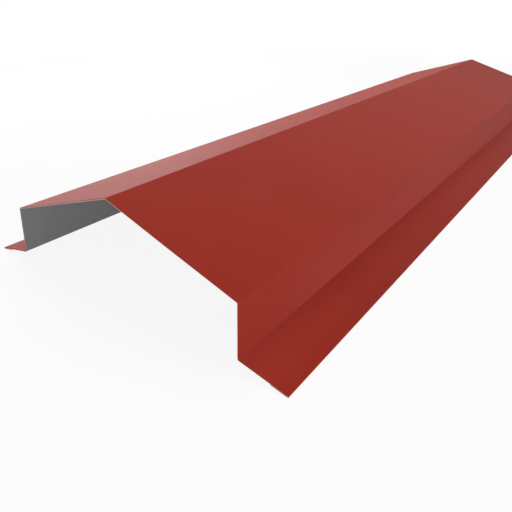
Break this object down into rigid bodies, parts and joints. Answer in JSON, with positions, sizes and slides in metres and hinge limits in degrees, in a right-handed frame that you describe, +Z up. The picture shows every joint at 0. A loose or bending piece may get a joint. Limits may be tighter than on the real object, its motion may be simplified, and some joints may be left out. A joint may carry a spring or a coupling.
{
  "type": "roof ridge cap",
  "caption": "Folded sheet-steel roof ridge cap with sloping wings, upright legs and hemmed flanges that lie on the roof sheets.",
  "frame": {"origin": "on the plane that the two hems lie on, below the middle of the ridge", "axes": "+Y along the ridge, +Z up from the hems to the ridge, +X across, out over one flange"},
  "size_m": [0.421, 1.25, 0.1204],
  "materials": {
    "coated_steel": "brown-red polyester coat outside, grey primer inside"
  },
  "bodies": {
    "root": {"ridge_cap": "coated_steel"}
  },
  "joints": []
}
